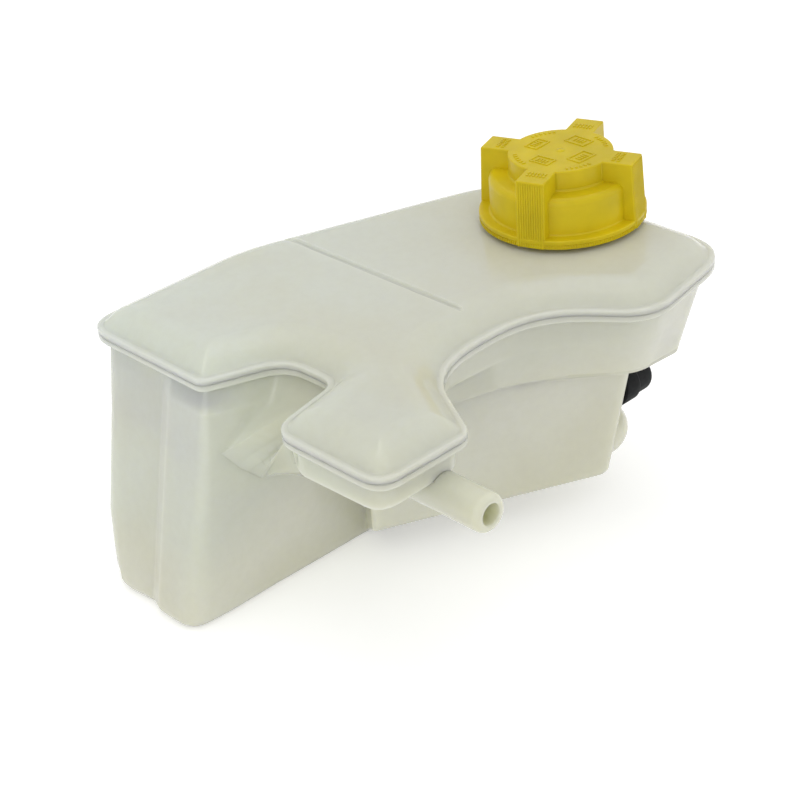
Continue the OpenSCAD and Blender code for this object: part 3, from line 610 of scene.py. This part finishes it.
class TANK_OT_lower_shell(bpy.types.Operator):
    """Moulds the chambers with the nose, the scooped bays, the ledge and the floors"""

    bl_idname = "tank.lower_shell"
    bl_label = "Lower shell"

    def execute(self, context):
        sizes = context.scene.tank_sizes
        steps = sizes.corner_steps
        wall, flange_w, flange_t = sizes.wall, sizes.flange_w, sizes.flange_t
        weld = at_height(WELD_PLAN, WELD_Z)
        inner_ledge = inset(LEDGE_LEVEL, wall, wall)
        inner_nose = inset(NOSE_LEVEL, wall, wall - 0.5)
        inner_ledge[BAY_REAR:NOSE_REAR + 1] = INSIDE_CREASE
        inner_nose[BAY_REAR:NOSE_REAR + 1] = INSIDE_SCOOP
        levels = [
            (inset(foot(1, 46, 7), BASE_ROUND + wall, wall - BASE_ROUND), 1),
            (inset(foot(1, 46, 6), wall + 1.2, 0.4), 1),
            (inset(CHAMBER_TOP, wall, -wall / 2), 1),
            (inner_ledge, 1),
            (inner_nose, 1),
            (inset(weld, flange_w + wall, -flange_t), 1),
            (inset(weld, flange_w + wall), 1),
            (inset(weld, 0.22), 1),
            (inset(weld, 0.08, -0.1), 1),
            (inset(weld, 0, -0.3), 1),
            (inset(weld, 0, -flange_t + 0.7), 1),
            (inset(weld, 0.15, -flange_t + 0.3), 1),
            (inset(weld, 0.6, -flange_t), 1),
            (inset(weld, flange_w - 0.9, -flange_t - 0.1), 1),
            (inset(weld, flange_w - 0.3, -flange_t - 0.4), 1),
            (inset(weld, flange_w, -flange_t - 1.2), 5),
            (NOSE_LEVEL, 1),
            (UNDER_NOSE, 8),
            (LEDGE_LEVEL, 1),
            (CHAMBER_TOP, 5),
            (foot(0.6, 18, 0), 2),
            (foot(0.8, 28, 1), 2),
            (foot(0.92, 38, 3), 2),
            (foot(1, 46, 6), 1),
            (inset(foot(1, 46, 7), 0.35, -1.7), 1),
            (inset(foot(1, 46, 8), 1.3, -3.15), 1),
            (inset(foot(1, 46, 9), 2.7, -4.15), 1),
            (inset(foot(1, 46, 10), BASE_ROUND, -BASE_ROUND), 1),
        ]
        rings = []
        for (corners, count), (following, _) in zip(levels, levels[1:] + levels[-1:]):
            here = ring(corners, steps)
            rings.append(here)
            rings += between(here, ring(following, steps), count)
        bm = bmesh.new()
        inner, outer = loft(bm, rings)
        base_faces(bm, inner, steps)
        base_faces(bm, outer, steps)
        bmesh.ops.recalc_face_normals(bm, faces=bm.faces)
        crisp(bm, (-190, -90, -67), (-100, 26, -16.2), radians(18))
        shell = to_object(bm, "chamber_moulding", "milky_plastic", "tank", ["lower_shell"], context)
        weighted(shell)
        self.baffle(context)
        return {"FINISHED"}

    def baffle(self, context):
        """The wall between the chambers with its flow openings, and the roof rib that it meets."""
        outline = [
            (-10.3, -102.5), (82.3, -102.5), (84.6, -50), (86.5, -20), (-31, -20), (-28, -28), (-11.5, -46),
            (-10.3, -50)]
        bm = bmesh.new()
        thick = 2.2
        lay = Matrix.Translation(at(BAFFLE_X - thick / 2, 0, 0)) @ UPRIGHT
        extruded(bm, outline, thick, lay)
        extruded(bm, [(-18, -11.9), (74, -11.9), (74, -4), (-18, -4)], thick, lay)
        tidy(bm)
        plate = to_object(bm, "baffle_plate", "milky_plastic", "tank", [], context, smooth=False)
        cut(plate, [
            cylinder(r, at(-90, y, z), at(-80, y, z), 48)
            for y, z, r in ((6, -101, 7), (66, -101, 7), (36, -20, 10.5))], context)


class TANK_OT_fittings(bpy.types.Operator):
    """Adds the bleed stub, the outlet elbow, the stub under the blanking cap and the mounting ears"""

    bl_idname = "tank.fittings"
    bl_label = "Stubs and ears"

    def execute(self, context):
        self.bleed_stub(context)
        self.outlet(context)
        self.upper_stub(context)
        for node, place, turn in (("left_ear", (-145, 93.4), 0), ("right_ear", (-40, 69.9), -23)):
            self.ear(context, node, place, turn)
        return {"FINISHED"}

    def bleed_stub(self, context):
        root = 38
        r, bore, end, tip = 7.7, 4.2, -FRONT - root, 3.0
        profile = [(0.02, 6), (bore, 6), (bore, end - 0.9)] + arc(bore + 0.9, end - 0.9, 0.9, 180, 90, 4)
        profile += arc(r - tip, end - tip, tip, 76, 0, 9) + [(r, 80 - root), (r + 0.4, 0)]
        profile += arc(0, 0, r + 0.4, 0, -89, 12)[1:]
        bm = bmesh.new()
        turned(bm, profile, at(-150.5, -root, -29.9), "-Y", 64)
        tidy(bm)
        weighted(to_object(bm, "bleed_stub", "milky_plastic", "tank", [], context))

    def outlet(self, context):
        """A round elbow from the end wall towards the rear, with a round tip."""
        bm = bmesh.new()
        r, bend = 9.0, 11.0
        start = at(-14, -30, -91)
        across = Matrix.Translation(start) @ Matrix.Rotation(pi / 2, 4, "Y")
        circle = bmesh.ops.create_circle(bm, segments=48, radius=r * MM, matrix=across)
        edges = list({e for v in circle["verts"] for e in v.link_edges})
        out = bmesh.ops.spin(
            bm, geom=circle["verts"] + edges, cent=start + Vector((0, bend * MM, 0)), axis=(0, 0, 1),
            angle=pi / 2, steps=14, use_duplicate=False)
        root = bmesh.ops.extrude_edge_only(bm, edges=edges)
        back = [g for g in root["geom"] if isinstance(g, bmesh.types.BMVert)]
        bmesh.ops.translate(bm, verts=back, vec=Vector((-4 * MM, 0, 0)))
        length, tip, bore, lip = 14 + 30 - bend, 3.0, 6.2, 0.5
        profile = [(r, -0.2)] + arc(r - tip, length - tip, tip, 0, 80, 9)
        profile += arc(bore + lip, length - lip, lip, 90, 180, 3) + [(bore, 0)]
        turned(bm, profile, at(-3, -19, -91), "Y", 48)
        tidy(bm)
        weighted(to_object(bm, "outlet_elbow", "milky_plastic", "tank", [], context))

    def upper_stub(self, context):
        bm = bmesh.new()
        profile = [(6.5, -16), (6.5, 1.2)] + arc(5.7, 1.2, 0.8, 0, 90, 4) + [(4.4, 2), (4, 1.6), (4, -16)]
        turned(bm, profile, at(0, -34.2, -67), "X", 48)
        tidy(bm)
        weighted(to_object(bm, "upper_stub", "milky_plastic", "tank", [], context))

    def ear(self, context, node, place, turn):
        r, reach, t = 11.0, 24.6, 5.0
        lay = Matrix.Translation(at(*place, -30)) @ Matrix.Rotation(radians(turn), 4, "Z")
        outline = [(-r, -2), (r, -2), (r, reach - r)] + arc(0, reach - r, r, 0, 180, 24)[1:]
        bm = bmesh.new()
        extruded(bm, outline, t, lay @ Matrix.Translation((0, 0, -t / 2 * MM)))
        web = [(-2, 0), (-4, -14), (0, -14), (reach - 18, -2), (reach - 18, 0)]
        extruded(bm, web, 3, lay @ Matrix.Translation((-1.5 * MM, 0, 0)) @ UPRIGHT)
        tidy(bm)
        piece = to_object(bm, node + "_moulding", "milky_plastic", "tank", [node], context)
        centre = lay @ Vector((0, (reach - r) * MM, 0))
        past = Vector((0, 0, 10 * MM))
        cut(piece, [cylinder(4.8, centre - past, centre + past, 64)], context)
        rounding = piece.modifiers.new("rounding", "BEVEL")
        rounding.width = 0.6 * MM
        rounding.segments = 3
        rounding.limit_method = "ANGLE"
        rounding.angle_limit = radians(40)
        weighted(piece)


class TANK_OT_cap(bpy.types.Operator):
    """Moulds the screw cap: flange, drum, hub, four ribbed lugs and plain relief on its top"""

    bl_idname = "tank.cap"
    bl_label = "Screw cap"

    def execute(self, context):
        sizes = context.scene.tank_sizes
        self.body(context, sizes)
        self.lugs(context, sizes)
        self.relief(context, sizes)
        return {"FINISHED"}

    def body(self, context, sizes):
        """Flange, drum with a round shoulder, and the hollow that the valve unit turns in."""
        r, drum, hub, top = sizes.cap_r, sizes.drum_r, sizes.hub_r, sizes.cap_h - sizes.relief_h
        shoulder, drum_top = 3.0, 19.8
        profile = [(27.9, 0.3), (28.2, 0), (r - 0.7, 0)] + arc(r - 0.7, 0.35, 0.35, -90, 0, 4)
        profile += [(r - 0.35, 2.0), (r, 2.3)] + arc(r - 0.6, 3.4, 0.6, 0, 90, 5) + [(drum + 1.0, 4.0)]
        profile += arc(drum + 0.9, 4.9, 0.9, 270, 180, 5)
        profile += arc(drum - shoulder, drum_top - shoulder, shoulder, 0, 90, 10)
        profile += arc(hub + 1.0, drum_top + 1.0, 1.0, 270, 180, 5)
        profile += [(hub - 0.6, drum_top + 1.05), (hub - 0.6, top - 1.5), (0.02, top - 1.5)]
        inside = [
            (0.02, 25.4), (16.8, 25.4), (17.8, 24.4), (17.8, 17), (17.2, 16.6), (17.2, 15.8), (27.9, 15.8),
            (27.9, 0.3)]
        bm = bmesh.new()
        turned(bm, profile + inside, at(0, 0, 0), "Z", 144)
        tidy(bm)
        weighted(to_object(bm, "cap_body", "yellow_plastic", "cap", ["cap_shell"], context))

    def lugs(self, context, sizes):
        """Hub wall and top in one piece with the four lugs, whose faces lean in towards the top."""
        half, hub, top = sizes.lug_half, sizes.hub_r, sizes.cap_h - sizes.relief_h
        rings = []
        for z, reach in ((0.7, sizes.cap_r - 0.35), (top, sizes.lug_reach - 0.3)):
            outline = []
            for i in range(4):
                turn = Matrix.Rotation(sizes.lug_turn + i * pi / 2, 2)
                side = degrees(asin(half / hub))
                spots = [(reach, -half), (reach, half)] + arc(0, 0, hub, side, 90 - side, 14)
                outline += [turn @ Vector(spot) for spot in spots]
            rings.append([Vector((x, y, z)) for x, y in outline])
        bm = bmesh.new()
        crown = loft(bm, rings)[1]
        bm.faces.new(crown)
        bmesh.ops.recalc_face_normals(bm, faces=bm.faces)
        rim = {edge for edge in bm.edges if all(v in crown for v in edge.verts)}
        reach = (sizes.lug_reach - 2) * MM
        corners = {
            edge for edge in bm.edges if edge.is_manifold and edge not in rim
            and all(hypot(v.co.x - NECK.x, v.co.y - NECK.y) > reach for v in edge.verts)}
        bmesh.ops.bevel(
            bm, geom=list(rim | corners), offset=0.55 * MM, offset_type="OFFSET", segments=4, profile=0.5,
            affect="EDGES", material=-1)
        piece = to_object(bm, "cap_lugs", "yellow_plastic", "cap", [], context)
        weighted(piece)
        self.ribs(context, sizes)

    def ribs(self, context, sizes):
        """Fine upright ribs down the lugs' faces, and ticks round the flange's lower edge."""
        bm = bmesh.new()
        count, low, high = sizes.rib_count, 0.3, sizes.cap_h - sizes.relief_h - 0.9
        pitch = (2 * sizes.lug_half - 0.9) / count
        foot, head = sizes.cap_r - 0.02, sizes.lug_reach + 0.05
        lean = Matrix.Identity(4)
        lean[0][2] = (head - foot) / (high - low)
        for i in range(4):
            turn = about_neck(low, sizes.lug_turn + i * pi / 2) @ lean
            for n in range(count):
                y = (n + 0.5 - count / 2) * pitch
                half = pitch * 0.32
                outline = [(foot - 0.8, y - half), (foot - 0.12, y - half), (foot, y - half * 0.4)]
                outline += [(x, 2 * y - other) for x, other in reversed(outline)]
                extruded(bm, outline, high - low, turn)
        ticks = 220
        for n in range(ticks):
            turn = about_neck(low, n * 2 * pi / ticks)
            x = sizes.cap_r - 0.02
            extruded(bm, [(x - 0.6, -0.24), (x - 0.04, -0.24), (x, -0.1), (x, 0.1), (x - 0.04, 0.24),
                          (x - 0.6, 0.24)], 1.6, turn)
        bmesh.ops.recalc_face_normals(bm, faces=bm.faces)
        to_object(bm, "cap_ribs", "yellow_plastic", "cap", [], context, smooth=False)

    def relief(self, context, sizes):
        """Plain raised frames, bars and a moulding gate on the cap's top."""
        bm = bmesh.new()
        sink = 0.2
        top, lift = sizes.cap_h - sizes.relief_h - sink, sizes.relief_h + sink - 0.05
        small, large = (12.0, 9.5, 6.4), (11.5, 10.5, 7.0)
        for angle, (distance, w, h) in ((75, small), (-20, large), (165, small), (250, large)):
            turn = about_neck(top, sizes.lug_turn + radians(angle))
            turn = turn @ Matrix.Translation((distance * MM, 0, 0)) @ Matrix.Rotation(-pi / 2, 4, "Z")
            bars = [(0, y, w, 0.7) for y in (-h / 2 + 0.35, h / 2 - 0.35)]
            bars += [(x, 0, 0.7, h - 1.5) for x in (-w / 2 + 0.35, w / 2 - 0.35)]
            bars += [(x, 0.4, 0.75, h * 0.42) for x in (-2.2, -0.75, 0.75, 2.2)]
            for x, y, wide, tall in bars:
                self.bar(bm, x, y, wide, tall, lift, turn)
        for i in range(4):
            turn = about_neck(top, sizes.lug_turn + i * pi / 2)
            for x in (24.4, 26.6):
                for n in range(6):
                    self.bar(bm, x, (n - 2.5) * 1.45, 1.5, 0.75, lift, turn)
        for i in range(24):
            angle = sizes.lug_turn + radians(45 + i % 4 * 90 + (i // 4 - 2.5) * 6)
            turn = about_neck(top, angle)
            self.bar(bm, 18.9, 0, 1.7, 0.9, lift, turn)
        bmesh.ops.recalc_face_normals(bm, faces=bm.faces)
        bmesh.ops.bevel(
            bm, geom=bm.edges[:], offset=0.1 * MM, offset_type="OFFSET", segments=2, profile=0.5,
            affect="EDGES", material=-1)
        gate = [(1.9, 0), (1.8, 0.3), (1.1, 0.38), (0.8, 0.52), (0.4, 0.58), (0.02, 0.6)]
        turned(bm, gate, at(0, 0, top), "Z", 24)
        bmesh.ops.recalc_face_normals(bm, faces=bm.faces)
        to_object(bm, "cap_relief", "yellow_plastic", "cap", [], context)

    def bar(self, bm, x, y, wide, tall, lift, turn):
        """A raised bar on the cap's top."""
        a, b, c, d = x - wide / 2, x + wide / 2, y - tall / 2, y + tall / 2
        extruded(bm, [(a, c), (b, c), (b, d), (a, d)], lift, turn)


class TANK_OT_blanking_cap(bpy.types.Operator):
    """Moulds the soft cap on the upper stub"""

    bl_idname = "tank.blanking_cap"
    bl_label = "Blanking cap"

    def execute(self, context):
        low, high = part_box("blanking_cap")
        r = (high.z - low.z) / 2 / MM
        bore, length, collar, tip = 6.55, 20.6, 10.0, 3.5
        axis = Vector((high.x - length * MM, (low.y + high.y) / 2, (low.z + high.z) / 2))
        profile = [(bore, 0), (r, 0)] + arc(r - 0.6, collar - 0.6, 0.6, 0, 70, 4)
        profile += [(r - 0.9, collar + 0.5), (r - 1.0, collar + 1.2)]
        profile += arc(r - 1 - tip, length - tip, tip, 0, 90, 10)
        profile += [(2.2, length), (1.8, length - 0.35), (0.02, length - 0.4)]
        profile += [(0.02, length - 2.5), (bore, length - 2.5), (bore, 0)]
        bm = bmesh.new()
        turned(bm, profile, axis, "X", 64)
        tidy(bm)
        slope = radians(11.95)
        sliced = bmesh.ops.bisect_plane(
            bm, geom=bm.verts[:] + bm.edges[:] + bm.faces[:], dist=1e-7, plane_co=at(-10.6, -34.2, -67),
            plane_no=(cos(slope), 0, -sin(slope)), clear_inner=True)
        mouth = [g for g in sliced["geom_cut"] if isinstance(g, bmesh.types.BMEdge)]
        bmesh.ops.bridge_loops(bm, edges=mouth)
        tidy(bm)
        weighted(to_object(bm, "rubber_cap", "black_rubber", "blank", ["blanking_cap"], context))
        return {"FINISHED"}


class TANK_OT_solids_finish(bpy.types.Operator):
    """Gives the valve's solids and the sleeves their metal, rubber and plastic"""

    bl_idname = "tank.solids_finish"
    bl_label = "Valve and sleeves"

    def execute(self, context):
        slots = {part["node"]: part["material_slot"] for part in frame["record"]["subparts"]}
        for name, node in frame["nodes"].items():
            if node.hide_render:
                continue
            material = finish_of(slots[name], context)
            if not node.material_slots:
                node.data.materials.append(material)
            for slot in node.material_slots:
                slot.material = material
        return {"FINISHED"}


class TANK_OT_stage(bpy.types.Operator):
    """Sets the white floor, the soft lamps and the camera"""

    bl_idname = "tank.stage"
    bl_label = "Studio"

    horizon: FloatProperty(name="Horizon", description="Brightness of the studio's walls", default=0.66)
    zenith: FloatProperty(name="Ceiling", description="Brightness of the studio's ceiling", default=0.84)

    def execute(self, context):
        self.camera(context)
        self.floor(context)
        self.lamps(context)
        return {"FINISHED"}

    def camera(self, context):
        """The photograph's own view: azimuth, height and a slight roll."""
        azimuth, down, roll = radians(41.19), radians(30.58), radians(-5.16)
        forward = Vector((sin(azimuth) * cos(down), cos(azimuth) * cos(down), -sin(down)))
        level = Vector((cos(azimuth), -sin(azimuth), 0))
        upright = level.cross(forward)
        right = level * cos(roll) + upright * sin(roll)
        up = upright * cos(roll) - level * sin(roll)
        data = bpy.data.cameras.new("camera")
        data.lens = 90
        data.sensor_width = 36
        data.clip_start = 0.05
        data.clip_end = 50
        camera = bpy.data.objects.new("camera", data)
        turn = Matrix((right, up, -forward)).transposed().to_4x4()
        camera.matrix_world = Matrix.Translation(at(-555.3, -520.7, 364.1)) @ turn
        context.scene.collection.objects.link(camera)
        context.scene.camera = camera

    def floor(self, context):
        """A wide white floor that shows as white and keeps the shadow."""
        bm = bmesh.new()
        bmesh.ops.create_circle(bm, cap_ends=True, segments=96, radius=6)
        mesh = bpy.data.meshes.new("floor")
        bm.to_mesh(mesh)
        bm.free()
        floor = bpy.data.objects.new("floor", mesh)
        context.scene.collection.objects.link(floor)
        material, shader, nodes, links = new_material("floor_white")
        nodes.remove(shader)
        paper = nodes.new("ShaderNodeBsdfDiffuse")
        paper.inputs["Color"].default_value = (0.9, 0.9, 0.9, 1)
        glow = nodes.new("ShaderNodeEmission")
        path = nodes.new("ShaderNodeLightPath")
        seen = nodes.new("ShaderNodeMath")
        seen.operation = "MAXIMUM"
        gain = nodes.new("ShaderNodeMath")
        gain.operation = "MULTIPLY"
        gain.inputs[1].default_value = 0.35
        links.new(path.outputs["Is Camera Ray"], seen.inputs[0])
        links.new(path.outputs["Is Glossy Ray"], seen.inputs[1])
        both = nodes.new("ShaderNodeAddShader")
        links.new(seen.outputs[0], gain.inputs[0])
        links.new(gain.outputs[0], glow.inputs["Strength"])
        links.new(paper.outputs[0], both.inputs[0])
        links.new(glow.outputs[0], both.inputs[1])
        links.new(both.outputs[0], nodes["Material Output"].inputs["Surface"])
        mesh.materials.append(material)

    def lamps(self, context):
        """Soft lamps in a pale studio, which the camera itself sees as white."""
        world = bpy.data.worlds.new("studio")
        world.use_nodes = True
        nodes, links = world.node_tree.nodes, world.node_tree.links
        coords = nodes.new("ShaderNodeTexCoord")
        parts = nodes.new("ShaderNodeSeparateXYZ")
        path = nodes.new("ShaderNodeLightPath")
        links.new(coords.outputs["Generated"], parts.inputs["Vector"])
        sky = spread(nodes, links, parts.outputs["Z"], -0.1, 0.9, self.horizon, self.zenith)
        white = nodes.new("ShaderNodeMix")
        links.new(path.outputs["Is Camera Ray"], white.inputs["Factor"])
        links.new(sky, white.inputs[2])
        white.inputs[3].default_value = 1.0
        nodes["Background"].inputs["Color"].default_value = (1, 1, 1, 1)
        links.new(white.outputs[0], nodes["Background"].inputs["Strength"])
        context.scene.world = world
        for name, place, size, power, target in (
            ("overhead", (0.1, 0.2, 1.6), (1.2, 1.2), 3.0, (0, 0, 0.08)),
            ("front_left", (-1.3, -0.9, 1.0), (0.8, 0.8), 0.9, (0, 0, 0.06)),
            ("right", (1.1, -1.2, 0.7), (0.7, 0.7), 1.5, (0, 0, 0.06)),
            ("edge", (-0.75, -0.62, 0.25), (0.03, 0.45), 0.6, (-0.08, 0.02, 0.06)),
        ):
            data = bpy.data.lights.new(name, "AREA")
            data.shape = "RECTANGLE"
            data.size, data.size_y = size
            data.energy = power
            lamp = bpy.data.objects.new(name, data)
            lamp.location = place
            lamp.rotation_euler = (Vector(target) - Vector(place)).to_track_quat("-Z", "Y").to_euler()
            lamp.visible_camera = False
            context.scene.collection.objects.link(lamp)


class TANK_PT_panel(bpy.types.Panel):
    bl_label = "Coolant expansion tank"
    bl_idname = "TANK_PT_panel"
    bl_space_type = "VIEW_3D"
    bl_region_type = "UI"
    bl_category = "Tank"

    def draw(self, context):
        for group in (context.scene.tank_sizes, context.scene.tank_colours):
            for name in group.__annotations__:
                self.layout.prop(group, name)
        for step in STEPS:
            self.layout.operator(step.bl_idname)


STEPS = (
    TANK_OT_stage, TANK_OT_upper_shell, TANK_OT_lower_shell, TANK_OT_fittings, TANK_OT_cap,
    TANK_OT_blanking_cap, TANK_OT_solids_finish,
)
CLASSES = (TankSizes, TankColours, *STEPS, TANK_PT_panel)


def register():
    for cls in CLASSES:
        bpy.utils.register_class(cls)
    bpy.types.Scene.tank_sizes = PointerProperty(type=TankSizes)
    bpy.types.Scene.tank_colours = PointerProperty(type=TankColours)


def unregister():
    del bpy.types.Scene.tank_colours
    del bpy.types.Scene.tank_sizes
    for cls in reversed(CLASSES):
        bpy.utils.unregister_class(cls)


def main():
    register()
    view = bpy.context.scene.view_settings
    view.view_transform = "Standard"
    for step in STEPS:
        group, name = step.bl_idname.split(".")
        getattr(getattr(bpy.ops, group), name)()


if __name__ == "__main__":
    main()
